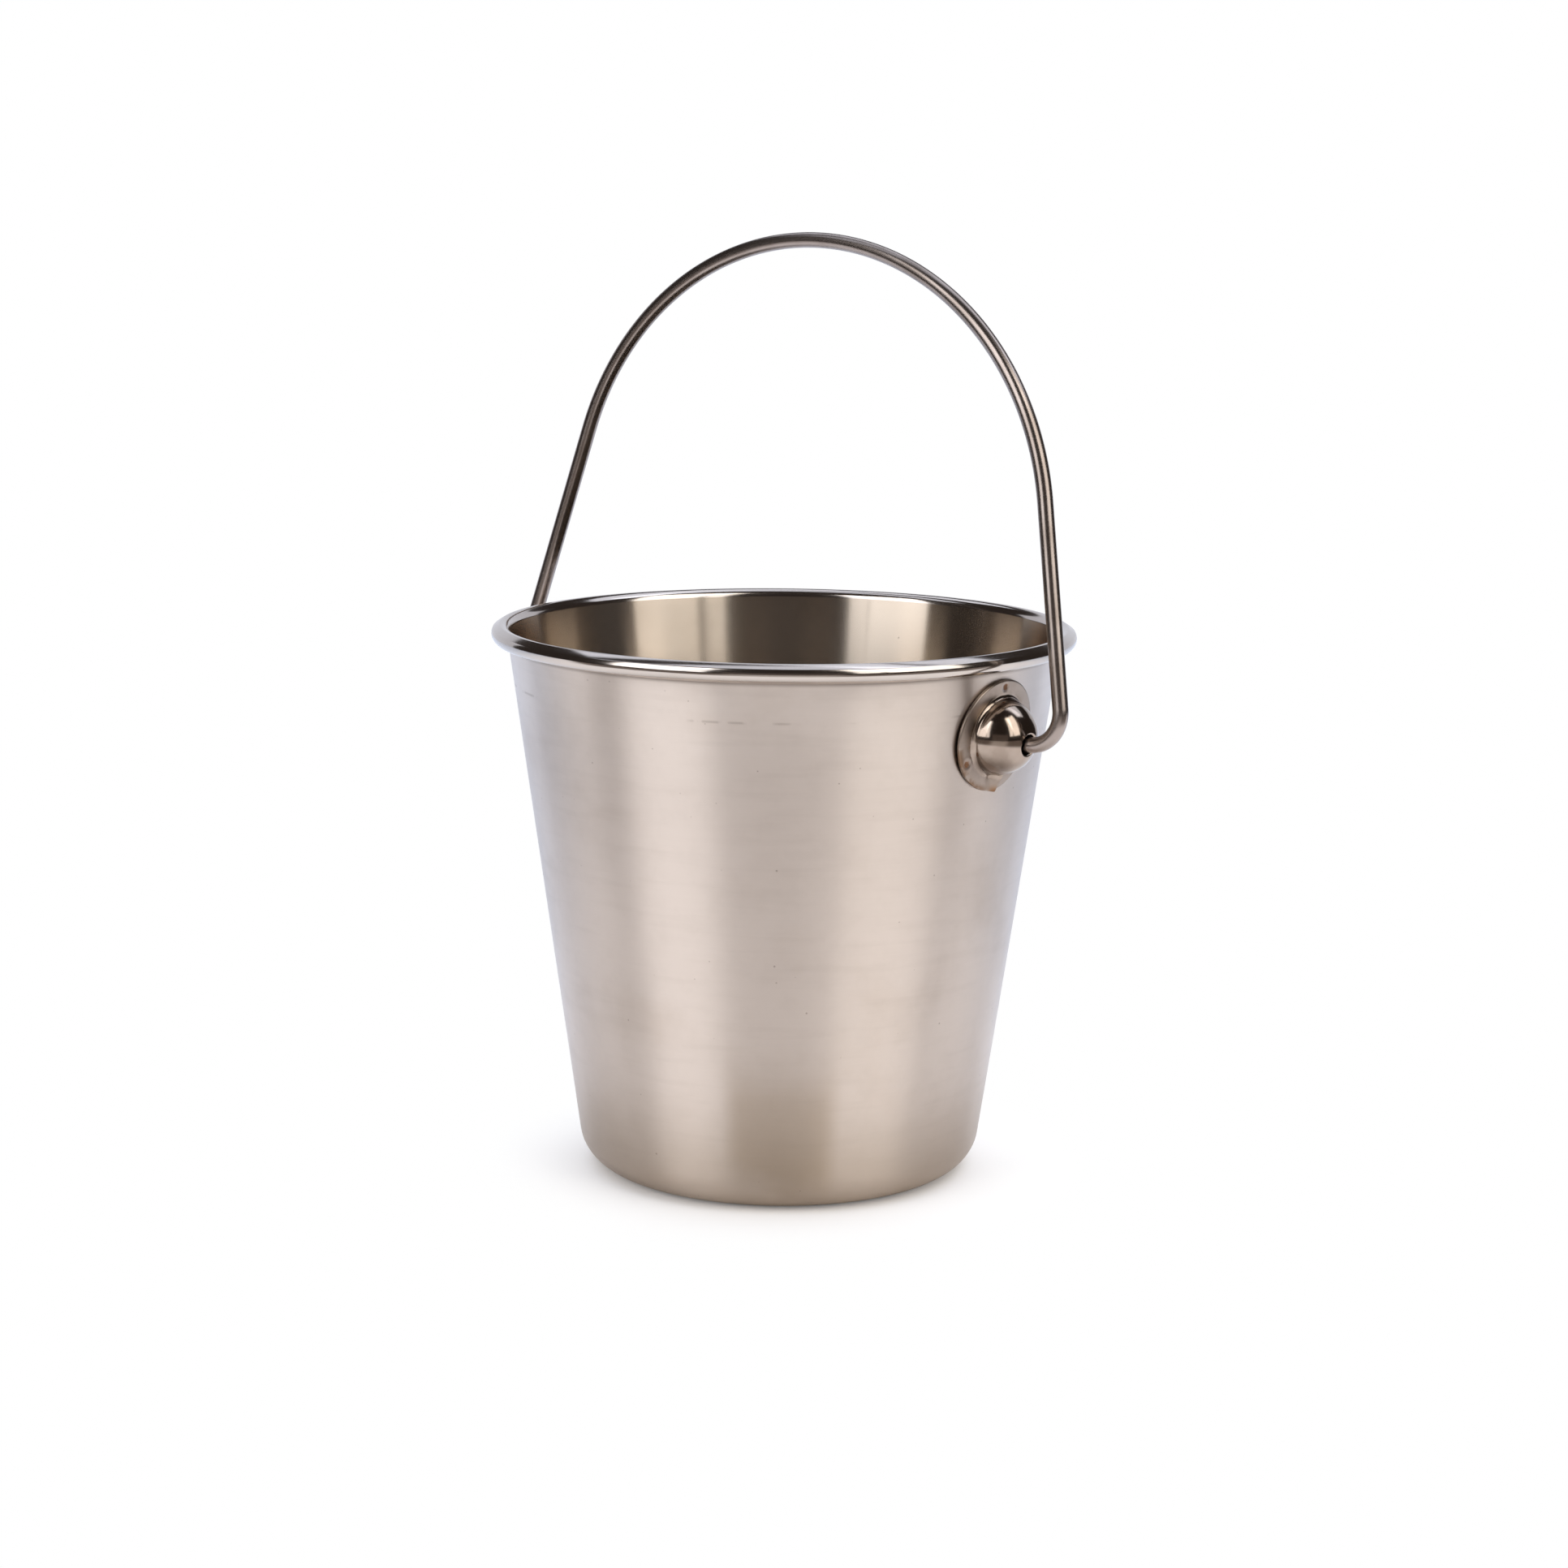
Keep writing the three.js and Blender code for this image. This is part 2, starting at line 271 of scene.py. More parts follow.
def flatten(points, centre):
    """Presses in the slight flat that the rolling tool leaves on the bead's top, towards its
    outside."""
    r, z = (points - centre).T
    off_flat = np.abs(np.arctan2(z, r) - FLAT_ANGLE)
    chord = math.cos(FLAT_HALF_ANGLE) / np.cos(np.minimum(off_flat, FLAT_HALF_ANGLE))
    return centre + (points - centre) * (1 + FLAT_DEPTH_SHARE * (chord - 1))[:, None]


OUTSIDE, RIM, INSIDE = 0, 1, 2  # the cup's finishes, in the order of its materials


def cup_profile():
    """The cup's section as (r, z), from the middle of the underside round to the middle of its
    floor, and the finish of the face that starts at each point."""
    corner = (
        outer_wall_radius(BASE_CORNER) - BASE_CORNER / math.cos(WALL_FLARE),
        BASE_CORNER,
    )
    roll = (ROLL_CENTRE_R, ROLL_CENTRE_Z)
    roll_start = math.pi - WALL_FLARE
    bottom = -math.pi / 2
    outer_corner = arc(corner, BASE_CORNER, bottom, -WALL_FLARE, 18)
    curl_inside = arc(roll, ROLL_RADIUS - SHEET, roll_start, ROLL_END, 24)
    middle = ROLL_RADIUS - SHEET / 2
    lip_centre = (roll[0] + middle * math.cos(ROLL_END), roll[1] + middle * math.sin(ROLL_END))
    lip = arc(lip_centre, SHEET / 2, ROLL_END + math.pi, ROLL_END + TURN, 6)
    curl_outside = flatten(arc(roll, ROLL_RADIUS, ROLL_END, roll_start, 120), roll)
    inner_corner = arc(corner, BASE_CORNER - SHEET, -WALL_FLARE, bottom, 14)
    middle_hole = 1 * MM  # closed by a fan of triangles
    return join_tagged(
        [
            (straight((middle_hole, 0), outer_corner[0], 8), OUTSIDE),
            (outer_corner, OUTSIDE),
            (straight(outer_corner[-1], curl_inside[0], 56), OUTSIDE),
            (curl_inside, RIM),
            (lip, RIM),
            (curl_outside, RIM),
            (straight(curl_outside[-1], inner_corner[0], 56), INSIDE),
            (inner_corner, INSIDE),
            (straight(inner_corner[-1], (middle_hole, SHEET), 8), INSIDE),
        ]
    )


def make_cup(materials):
    profile, finishes = cup_profile()
    theta = ring_angles(CUP_SEGMENTS)
    z = profile[:, 1][:, None] + 0 * theta
    radius = profile[:, 0][:, None] + wall_wave(theta, z)
    rings = np.stack([radius * np.cos(theta), radius * np.sin(theta), z], -1).reshape(-1, 3)
    middles = [[0, 0, 0], [0, 0, SHEET]]
    quads = grid_faces(len(profile), CUP_SEGMENTS).tolist()
    under_middle = len(rings)
    floor_middle = under_middle + 1
    last_ring = len(rings) - CUP_SEGMENTS
    fans = [[under_middle, (i + 1) % CUP_SEGMENTS, i] for i in range(CUP_SEGMENTS)]
    fans += [
        [floor_middle, last_ring + i, last_ring + (i + 1) % CUP_SEGMENTS]
        for i in range(CUP_SEGMENTS)
    ]
    finish = np.repeat(np.append(finishes[:-1], (OUTSIDE, INSIDE)), CUP_SEGMENTS)
    return make_piece(
        "pail_cup", np.concatenate([rings, middles]), quads + fans, materials, finish
    )


# ---------------------------------------------------------------- the ears


def ear_profile():
    """The ear's section about its own axis as (rho, out), a closed loop: from the hole over the
    dome, fillet and flange to the edge, and back under them. Also whether each point is on the
    front."""
    sphere = (0, DOME_STANDOFF)
    inner = DOME_RADIUS - EAR_SHEET
    rise = EAR_SHEET + DOME_FILLET - DOME_STANDOFF
    reach = math.sqrt((DOME_RADIUS + DOME_FILLET) ** 2 - rise**2)
    thick_fillet = EAR_SHEET + DOME_FILLET
    fillet = (reach, thick_fillet)
    fillet_angle = math.atan2(rise, reach)
    edge = EAR_ROUND_EDGE
    flat_end = FLANGE_RADIUS - edge
    hole_angle = math.acos((HOLE_RADIUS + edge) / DOME_RADIUS)
    inner_hole_angle = math.acos((HOLE_RADIUS + edge) / inner)
    down = 1.5 * math.pi
    front_dome = arc(sphere, DOME_RADIUS, hole_angle, fillet_angle, 44)
    front_fillet = arc(fillet, DOME_FILLET, math.pi + fillet_angle, down, 8)
    corner_front = arc((flat_end, EAR_SHEET - edge), edge, math.pi / 2, 0, 4)
    corner_back = arc((flat_end, edge), edge, 0, -math.pi / 2, 4)
    back_fillet = arc(fillet, thick_fillet, down, math.pi + fillet_angle, 6)
    back_dome = arc(sphere, inner, fillet_angle, inner_hole_angle, 30)
    back_of_hole = back_dome[-1][1]
    front_of_hole = front_dome[0][1]
    bevel = 0.3 * (front_of_hole - back_of_hole)
    lip_low = (HOLE_RADIUS, back_of_hole + bevel)
    lip_high = (HOLE_RADIUS, front_of_hole - bevel)
    return join_tagged(
        [
            (front_dome, True),
            (front_fillet, True),
            (straight(front_fillet[-1], corner_front[0], 16), True),
            (corner_front, True),
            (straight(corner_front[-1], corner_back[0], 2), False),
            (corner_back, False),
            (straight(corner_back[-1], back_fillet[0], 12), False),
            (back_fillet, False),
            (back_dome, False),
            (np.array([back_dome[-1], lip_low, lip_high]), False),
        ]
    )


def drain_lift(across, up, out, base):
    """How far the pressed drain channel lifts a point of the ear above the stamping without it."""
    below = -up
    run = np.clip((below - DOME_RADIUS) / (FLANGE_RADIUS - DOME_RADIUS), -0.3, 1)
    ridge = DRAIN_AT_DOME + (DRAIN_AT_EDGE - DRAIN_AT_DOME) * run
    off_middle = np.clip(across / DRAIN_HALF_WIDTH, -1, 1)
    crossing = np.cos(off_middle * math.pi / 2) ** 1.5
    gap = ridge * crossing * smooth(below, *DRAIN_START) - (out - base)
    lift = 0.5 * (gap + np.sqrt(gap**2 + DRAIN_SOFTNESS**2))
    return np.where(below > 0, lift, 0) * (gap > -4 * DRAIN_SOFTNESS) * crossing


def wall_fall_away(across, up):
    """How far the round wall falls away behind a point of the ear."""
    radius = outer_wall_radius(EAR_Z) / math.cos(WALL_FLARE) + up * math.sin(WALL_FLARE)
    return radius - np.sqrt(radius**2 - across**2)


def ear_placement(side):
    """From the ear's own (up, across, out) to the row frame, for side +1 (right) or -1 (left)."""
    slope_up = Vector((side * math.sin(WALL_FLARE), 0, math.cos(WALL_FLARE)))
    outward = Vector((side * math.cos(WALL_FLARE), 0, -math.sin(WALL_FLARE)))
    across = outward.cross(slope_up)
    seat = Vector((side * outer_wall_radius(EAR_Z), 0, EAR_Z)) + outward * EAR_SEAT
    return np.array([slope_up, across, outward]), np.array(seat)


def weld_marks(up, across):
    """For every point of an ear, 1 in the middle of a spot weld falling to 0 at its edge, and the
    low rims round the welds added up."""
    dimples = 0 * up
    rims = 0 * up
    for angle in np.radians(WELD_ANGLES):
        weld_up = WELD_REACH * math.cos(angle)
        weld_across = WELD_REACH * math.sin(angle)
        distance = np.hypot(up - weld_up, across - weld_across)
        dimples = np.maximum(dimples, 1 - smooth(distance, 0, WELD_RADIUS))
        rims = rims + bell(distance - WELD_RADIUS, WELD_RIM_WIDTH)
    return dimples, rims


def make_ear(name, side, material):
    profile, on_front = ear_profile()
    front = on_front[:, None]
    theta = ring_angles(EAR_SEGMENTS)
    rho = profile[:, 0][:, None] + 0 * theta
    up = rho * np.cos(theta)
    across = rho * np.sin(theta)
    out = profile[:, 1][:, None] + 0 * theta
    follow = smooth(rho, DOME_RADIUS / 2, DOME_RADIUS + DOME_FILLET) * FLANGE_FOLLOW
    base = np.where(front, EAR_SHEET, 0)
    out = out + drain_lift(across, up, out, base) - follow * wall_fall_away(across, up)
    dimples, rims = weld_marks(up, across)
    out = out + front * (WELD_RIM_HEIGHT * rims - WELD_DEPTH * dimples)
    axes, seat = ear_placement(side)
    local = np.stack([up, across, out], -1).reshape(-1, 3)
    faces = grid_faces(len(profile), EAR_SEGMENTS, close_rows=True)
    piece = make_piece(name, local @ axes + seat, faces, [material])

    below = -up
    dome_dark_patch = bell(np.hypot(up - DOME_PATCH_UP, across - side * DOME_PATCH_ACROSS), DOME_PATCH_SIZE)
    drain_middle = 1 - smooth(np.abs(across), 0.5 * MM, 1.5 * MM)
    flange_edge = smooth(rho, 10.6 * MM, 11.8 * MM)
    low_quarter = smooth(below, -1 * MM, 4 * MM) * smooth(side * across, 0, 4 * MM)
    add_mask(piece, "dome_dark_patch", dome_dark_patch * front)
    add_mask(piece, "edge_rust", flange_edge * low_quarter)
    add_mask(piece, "weld", dimples * front)
    add_mask(piece, "drain", drain_middle * smooth(below, 10.2 * MM, 12 * MM))
    add_mask(piece, "crease", bell(rho - DOME_FOOT, 0.5 * MM) * front)
    add_mask(piece, "flange", smooth(rho, DOME_FOOT - 0.7 * MM, DOME_FOOT + 0.3 * MM))
    return piece


# ---------------------------------------------------------------- the bail


def arch_turn(lean):
    """Where on the arch, as the ellipse's own angle, the wire leans in as much as a leg does."""
    return math.atan(ARCH_HALF_HEIGHT / ARCH_HALF_WIDTH * math.tan(lean))


def bail_side(sign, lean, wire_end):
    """Where one leg's stretches meet, as (s, h)."""
    top_s = ARCH_CENTRE[0] + sign * ARCH_HALF_WIDTH * math.cos(arch_turn(lean))
    top_h = ARCH_CENTRE[1] + ARCH_HALF_HEIGHT * math.sin(arch_turn(lean))
    corner_s = abs(top_s) + top_h * math.tan(lean)
    tangent = BEND_RADIUS * math.tan((math.pi / 2 + lean) / 2)
    bend_top = (sign * (corner_s - tangent * math.sin(lean)), tangent * math.cos(lean))
    return {
        "top": np.array([top_s, top_h]),
        "bend_top": np.array(bend_top),
        "stub": np.array([sign * (corner_s - tangent), 0.0]),
        "end": np.array([sign * wire_end, 0.0]),
    }


def head_stations(end, sign):
    """The upset head on one end, from its outer face to where the plain wire starts: points on
    the wire's line, and the radius at each."""
    steps, radii = np.array(HEAD_SHAPE).T
    along = sign * steps * HEAD_THICKNESS / 2
    return end + np.stack([along, 0 * along], 1), radii * HEAD_RADIUS


def bail_path():
    """The wire's centreline in its plane from the right end to the left, with its radius at each
    point: a rounded upset head at both ends."""
    right = bail_side(1, RIGHT_LEG_LEAN, WIRE_END_RIGHT)
    left = bail_side(-1, LEFT_LEG_LEAN, WIRE_END_LEFT)
    right_bend = (right["stub"][0], BEND_RADIUS)
    left_bend = (left["stub"][0], BEND_RADIUS)
    arch_start = arch_turn(RIGHT_LEG_LEAN)
    arch_end = math.pi - arch_turn(LEFT_LEG_LEAN)
    right_head, right_radii = head_stations(right["end"], 1)
    left_head, left_radii = head_stations(left["end"], -1)
    wire = join(
        [
            straight(right_head[-1], right["stub"], 8),
            arc(right_bend, BEND_RADIUS, -math.pi / 2, RIGHT_LEG_LEAN, 28),
            straight(right["bend_top"], right["top"], 24),
            ellipse(ARCH_CENTRE, ARCH_HALF_WIDTH, ARCH_HALF_HEIGHT, arch_start, arch_end, 150),
            straight(left["top"], left["bend_top"], 24),
            arc(left_bend, BEND_RADIUS, math.pi - LEFT_LEG_LEAN, 1.5 * math.pi, 28),
            straight(left["stub"], left_head[-1], 8),
        ]
    )
    wire = wire[1:-1]  # its ends are the heads' last stations
    path = np.concatenate([right_head, wire, left_head[::-1]])
    radii = np.concatenate([right_radii, np.full(len(wire), WIRE_RADIUS), left_radii[::-1]])
    return path, radii


def make_bail(material):
    path, radii = bail_path()
    along = np.gradient(path, axis=0)
    along[: len(HEAD_SHAPE)] = (1, 0)  # a head's flat face gives no direction of its own
    along[-len(HEAD_SHAPE) :] = (1, 0)
    along /= np.linalg.norm(along, axis=1)[:, None]
    angle = ring_angles(WIRE_SIDES)
    in_plane = radii[:, None] * np.cos(angle)
    across = radii[:, None] * np.sin(angle)
    s = path[:, 0][:, None] - along[:, 1][:, None] * in_plane
    h = path[:, 1][:, None] + along[:, 0][:, None] * in_plane
    y = across * math.cos(BAIL_REST_LEAN) + h * math.sin(BAIL_REST_LEAN)
    z = -across * math.sin(BAIL_REST_LEAN) + h * math.cos(BAIL_REST_LEAN) + PIVOT_Z
    points = np.stack([s, y, z], -1).reshape(-1, 3)
    faces = grid_faces(len(path), WIRE_SIDES).tolist()
    faces.append(list(range(WIRE_SIDES)))
    faces.append(list(range(len(points) - 1, len(points) - WIRE_SIDES - 1, -1)))
    return make_piece("bail_handle", points, faces, [material])


# ---------------------------------------------------------------- materials


class Tree:
    """Short calls for building one node tree."""

    def __init__(self, tree):
        self.tree = tree
        self.tree.nodes.clear()

    def add(self, kind, inputs=(), **settings):
        node = self.tree.nodes.new(kind)
        for name, value in settings.items():
            setattr(node, name, value)
        for name, value in dict(inputs).items():
            self.feed(node.inputs[name], value)
        return node

    def feed(self, socket, value):
        if isinstance(value, bpy.types.NodeSocket):
            self.tree.links.new(value, socket)
        else:
            socket.default_value = value

    def math(self, operation, a, b=0.0):
        return self.add("ShaderNodeMath", {0: a, 1: b}, operation=operation).outputs[0]

    def times(self, a, b):
        return self.math("MULTIPLY", a, b)

    def plus(self, a, b):
        return self.math("ADD", a, b)

    def vector(self, operation, a, b=(0, 0, 0)):
        return self.add("ShaderNodeVectorMath", {0: a, 1: b}, operation=operation)

    def dot(self, a, b):
        return self.vector("DOT_PRODUCT", a, b).outputs["Value"]

    def length(self, a):
        return self.vector("LENGTH", a).outputs["Value"]

    def place(self):
        """Where on the piece a point is. The pieces' own frames are the row frame."""
        return self.add("ShaderNodeTexCoord").outputs["Object"]

    def mask(self, name):
        return self.add("ShaderNodeAttribute", attribute_name=name).outputs["Fac"]

    def seen_by_camera(self):
        """1 for what the camera sees directly, and 0 for what reflections and bounced light see."""
        return self.add("ShaderNodeLightPath").outputs["Is Camera Ray"]

    def ramp(self, value, low, high, to_low=0.0, to_high=1.0):
        """A smooth rise from to_low at low to to_high at high."""
        node = self.add(
            "ShaderNodeMapRange",
            {
                "Value": value,
                "From Min": low,
                "From Max": high,
                "To Min": to_low,
                "To Max": to_high,
            },
            interpolation_type="SMOOTHSTEP",
        )
        return node.outputs["Result"]

    def noise(self, vector, scale=1.0, detail=2.0, roughness=0.5):
        node = self.add(
            "ShaderNodeTexNoise",
            {"Vector": vector, "Scale": scale, "Detail": detail, "Roughness": roughness},
        )
        return node.outputs["Fac"]

    def mix(self, share, a, b):
        """A colour between a and b."""
        node = self.add("ShaderNodeMix", data_type="RGBA")
        self.feed(node.inputs[0], share)
        self.feed(node.inputs[6], a)
        self.feed(node.inputs[7], b)
        return node.outputs[2]

    def coat(self, base, where, strength, over):
        """The base colour with another over it, as strong as strength where where is 1."""
        return self.mix(self.times(where, strength), base, over)


def colour(red, green, blue):
    return (red, green, blue, 1.0)


def steel(name):
    """A new material with its tree and its metal shader."""
    material = bpy.data.materials.new(name)
    material.use_nodes = True
    tree = Tree(material.node_tree)
    shader = tree.add("ShaderNodeBsdfPrincipled", {"Metallic": 1.0})
    output = tree.add("ShaderNodeOutputMaterial")
    tree.feed(output.inputs["Surface"], shader.outputs[0])
    return material, tree, shader


def stretch_reflections(tree, shader, amount):
    """The fine grain round the pail, which stretches reflections up and down the wall."""
    quarter_turn = 0.25
    shader.inputs["Anisotropic"].default_value = amount
    shader.inputs["Anisotropic Rotation"].default_value = quarter_turn
    tangent = tree.add("ShaderNodeTangent", direction_type="RADIAL", axis="Z")
    tree.feed(shader.inputs["Tangent"], tangent.outputs[0])


def bump(tree, shader, height, strength, distance_mm):
    inputs = {"Strength": strength, "Distance": distance_mm * MM, "Height": height}
    tree.feed(shader.inputs["Normal"], tree.add("ShaderNodeBump", inputs).outputs[0])


def radius_of(tree, place):
    """Distance from the pail's axis."""
    length = tree.length(tree.vector("MULTIPLY", place, (1, 1, 0)).outputs[0])
    return tree.math("MAXIMUM", length, 1e-5)


def around_axis(tree, length_mm, height_mm):
    """Coordinates for marks that run round the pail: one unit is about length_mm round the wall
    and height_mm up it. They have no seam."""
    middle_radius_mm = 55.0
    turns = middle_radius_mm / length_mm
    place = tree.place()
    parts = tree.add("ShaderNodeSeparateXYZ", {0: place})
    radius = radius_of(tree, place)
    x = tree.times(tree.math("DIVIDE", parts.outputs[0], radius), turns)
    y = tree.times(tree.math("DIVIDE", parts.outputs[1], radius), turns)
    z = tree.math("DIVIDE", parts.outputs[2], height_mm * MM)
    return tree.add("ShaderNodeCombineXYZ", {0: x, 1: y, 2: z}).outputs[0]


def brushed(tree, shader, strength):
    """Fine lines round the pail as bump, and their noise for other uses."""
    fine = tree.noise(around_axis(tree, 14, 0.16), detail=3.0, roughness=0.6)
    coarse = tree.noise(around_axis(tree, 30, 0.7))
    lines = tree.plus(tree.times(fine, 0.6), tree.times(coarse, 0.4))
    bump(tree, shader, lines, strength, 0.02)
    return lines


def specks(tree, spacing_mm, size, density):
    """Sparse tiny dots: 1 in a dot, 0 elsewhere."""
    cells = tree.add(
        "ShaderNodeTexVoronoi", {"Vector": tree.place(), "Scale": 1 / (spacing_mm * MM)}
    )
    near = tree.ramp(cells.outputs["Distance"], size, size * 0.4)
    chosen = tree.add("ShaderNodeSeparateColor", {0: cells.outputs["Color"]}).outputs[0]
    return tree.times(near, tree.math("LESS_THAN", chosen, density))


def darker_foot_and_dark_reflection(tree, base, place, height, clouds):
    """The wall darker and browner towards the pail's foot all round, and above it on one side a
    painted dark reflection.
    """
    uneven = tree.times(tree.plus(clouds, -0.5), 24 * MM)
    uneven_height = tree.plus(height, uneven)
    # The wall is painted darker and browner towards its foot, all round.
    foot_darkening = tree.ramp(uneven_height, 30 * MM, 6 * MM)
    base = tree.coat(base, foot_darkening, 0.42, colour(0.33, 0.26, 0.185))
    # Painted reflection: a brown darkening low on one side of the wall, standing in for the shaded
    # floor reflected there.
    dark_reflection_side = (math.sin(DARK_REFLECTION_AZIMUTH), -math.cos(DARK_REFLECTION_AZIMUTH), 0)
    facing = tree.math("DIVIDE", tree.dot(place, dark_reflection_side), radius_of(tree, place))
    dark_reflection_patch = tree.ramp(facing, 0.958, 0.986)  # cosine of the angle off that side
    dark_reflection_patch = tree.times(dark_reflection_patch, tree.ramp(uneven_height, 38 * MM, 25 * MM))
    dark_reflection_patch = tree.times(dark_reflection_patch, tree.ramp(uneven_height, 4 * MM, 15 * MM))
    # painted dark reflection
    return tree.coat(base, dark_reflection_patch, 0.36, colour(0.38, 0.285, 0.18))


def dash_ring(tree, height):
    """A ring of dashes round the wall, in runs with gaps between."""
    off_ring = tree.math("ABSOLUTE", tree.math("SUBTRACT", height, DASH_RING_Z))
    dashes = tree.ramp(tree.noise(around_axis(tree, 4, 9), detail=3.0), 0.46, 0.58)
    runs = tree.ramp(tree.noise(around_axis(tree, 26, 40), detail=1.0), 0.46, 0.56)
    return tree.times(tree.ramp(off_ring, 0.42 * MM, 0.05 * MM), tree.times(dashes, runs))


def satin_outside():
    material, tree, shader = steel("satin_steel")
    lines = brushed(tree, shader, 0.05)
    place = tree.place()
    height = tree.add("ShaderNodeSeparateXYZ", {0: place}).outputs[2]
    clouds = tree.noise(place, scale=38.0, detail=4.0, roughness=0.55)
    mottle = tree.noise(place, scale=170.0, detail=5.0, roughness=0.6)
    smudged = tree.ramp(clouds, 0.50, 0.78)
    # Painted light: the wall's colour is lightened towards the rim, where its reflections are
    # brighter.
    painted_light_near_rim = tree.ramp(height, HEIGHT - 34 * MM, HEIGHT - 8 * MM)
    under_bead = HEIGHT - 2 * ROLL_RADIUS
    # Painted shade: a thin dark band on the wall just under the bead, where the bead shades it.
    painted_shade_under_bead = tree.ramp(height, under_bead - 1.3 * MM, under_bead - 0.1 * MM)
    dots = tree.math("MAXIMUM", specks(tree, 4.0, 0.06, 0.5), specks(tree, 9.0, 0.035, 1.0))
    ring = tree.times(dash_ring(tree, height), 0.27)
    marks = tree.math("MAXIMUM", ring, tree.times(dots, 0.45))
    streaks = tree.ramp(tree.noise(around_axis(tree, 24, 2.6), detail=3.0), 0.50, 0.72)

    base = tree.coat(colour(0.660, 0.586, 0.530), smudged, 0.55, colour(0.560, 0.480, 0.415))
    # painted light near the rim
    base = tree.coat(base, painted_light_near_rim, 0.28, colour(0.80, 0.73, 0.67))
    base = tree.coat(base, tree.ramp(mottle, 0.40, 0.75), 0.10, colour(0.46, 0.40, 0.35))
    base = tree.coat(base, tree.ramp(lines, 0.35, 0.65), 0.03, colour(0.40, 0.35, 0.31))
    # darker towards the foot all round, and a painted dark reflection on one side
    base = darker_foot_and_dark_reflection(tree, base, place, height, clouds)
    # painted shade under the bead
    base = tree.coat(base, painted_shade_under_bead, 0.75, colour(0.17, 0.13, 0.105))
    base = tree.mix(marks, base, colour(0.20, 0.14, 0.10))
    base = tree.coat(base, streaks, 0.07, colour(0.36, 0.30, 0.25))
    tree.feed(shader.inputs["Base Color"], base)

    rough = tree.plus(0.38, tree.times(clouds, 0.06))
    rough = tree.plus(rough, tree.times(marks, 0.2))
    near_rim = tree.ramp(height, HEIGHT - 22 * MM, HEIGHT - 8 * MM)
    rough = tree.plus(rough, tree.times(near_rim, -0.05))
    tree.feed(shader.inputs["Roughness"], rough)
    stretch_reflections(tree, shader, 0.92)
    return material


def polished_inside():
    material, tree, shader = steel("inside_steel")
    shader.inputs["Metallic"].default_value = 0.98  # a thin film of dried milk and handling
    shader.inputs["Specular Tint"].default_value = colour(0.78, 0.62, 0.48)
    lines = brushed(tree, shader, 0.05)
    clouds = tree.noise(tree.place(), scale=45.0, detail=4.0)
    cloudy = tree.ramp(clouds, 0.4, 0.8)
    base = tree.mix(cloudy, colour(0.465, 0.405, 0.34), colour(0.42, 0.356, 0.29))
    base = tree.coat(base, specks(tree, 5.0, 0.06, 0.25), 0.7, colour(0.12, 0.1, 0.08))
    tree.feed(shader.inputs["Base Color"], base)
    rough = tree.plus(0.17, tree.times(clouds, 0.04))
    rough = tree.plus(rough, tree.times(lines, 0.04))
    tree.feed(shader.inputs["Roughness"], rough)
    stretch_reflections(tree, shader, 1.0)
    return material


def rolled_rim():
    material, tree, shader = steel("rim_steel")
    brushed(tree, shader, 0.04)
    clouds = tree.noise(tree.place(), scale=120.0, detail=3.0)
    base = tree.mix(clouds, colour(0.53, 0.485, 0.45), colour(0.46, 0.41, 0.37))
    tree.feed(shader.inputs["Base Color"], base)
    tree.feed(shader.inputs["Roughness"], tree.plus(0.08, tree.times(clouds, 0.09)))
    return material


def ear_steel():
    material, tree, shader = steel("ear_steel")
    place = tree.place()
    clouds = tree.noise(place, scale=260.0, detail=4.0)
    grain = tree.noise(place, scale=1500.0)
    flange = tree.mask("flange")
    ragged = tree.plus(tree.noise(place, scale=1800.0, detail=3.0), -0.5)
    rust = tree.ramp(tree.plus(tree.mask("weld"), tree.times(ragged, 0.9)), 0.30, 0.62)
    drain = tree.times(tree.mask("drain"), tree.ramp(clouds, 0.26, 0.42))
    crease = tree.times(tree.mask("crease"), tree.ramp(clouds, 0.45, 0.65))
    dome_dark_patch = tree.times(tree.mask("dome_dark_patch"), tree.ramp(clouds, 0.3, 0.6, 0.7, 1.0))
    edge_rust = tree.times(tree.mask("edge_rust"), tree.ramp(clouds, 0.36, 0.5))

    cloudy = tree.ramp(clouds, 0.35, 0.7)
    base = tree.mix(cloudy, colour(0.37, 0.305, 0.255), colour(0.31, 0.25, 0.205))
    base = tree.coat(base, flange, 0.5, colour(0.24, 0.20, 0.172))
    base = tree.coat(base, crease, 0.5, colour(0.20, 0.15, 0.11))
    base = tree.coat(base, drain, 0.9, colour(0.30, 0.165, 0.085))
    # a darker patch low on the dome
    base = tree.coat(base, dome_dark_patch, 0.9, colour(0.13, 0.098, 0.08))
    base = tree.coat(base, edge_rust, 0.9, colour(0.17, 0.105, 0.065))
    base = tree.coat(base, rust, 0.85, colour(0.24, 0.12, 0.06))
    tree.feed(shader.inputs["Base Color"], base)

    rough = tree.plus(0.10, tree.times(flange, 0.17))
    rough = tree.plus(rough, tree.times(clouds, 0.05))
    rough = tree.plus(rough, tree.times(tree.math("MAXIMUM", rust, drain), 0.35))
    tree.feed(shader.inputs["Roughness"], rough)
    bump(tree, shader, grain, 0.06, 0.02)
    return material


def wire_steel():
    material, tree, shader = steel("wire_steel")
    place = tree.place()
    clouds = tree.noise(place, scale=90.0)
    drawn = tree.noise(place, scale=110.0, detail=1.0)
    cloudy = tree.ramp(clouds, 0.35, 0.7)
    base = tree.mix(cloudy, colour(0.335, 0.288, 0.262), colour(0.265, 0.222, 0.196))
    tree.feed(shader.inputs["Base Color"], base)
    tree.feed(shader.inputs["Roughness"], tree.plus(0.22, tree.times(clouds, 0.07)))
    bump(tree, shader, drawn, 0.04, 0.05)
    return material


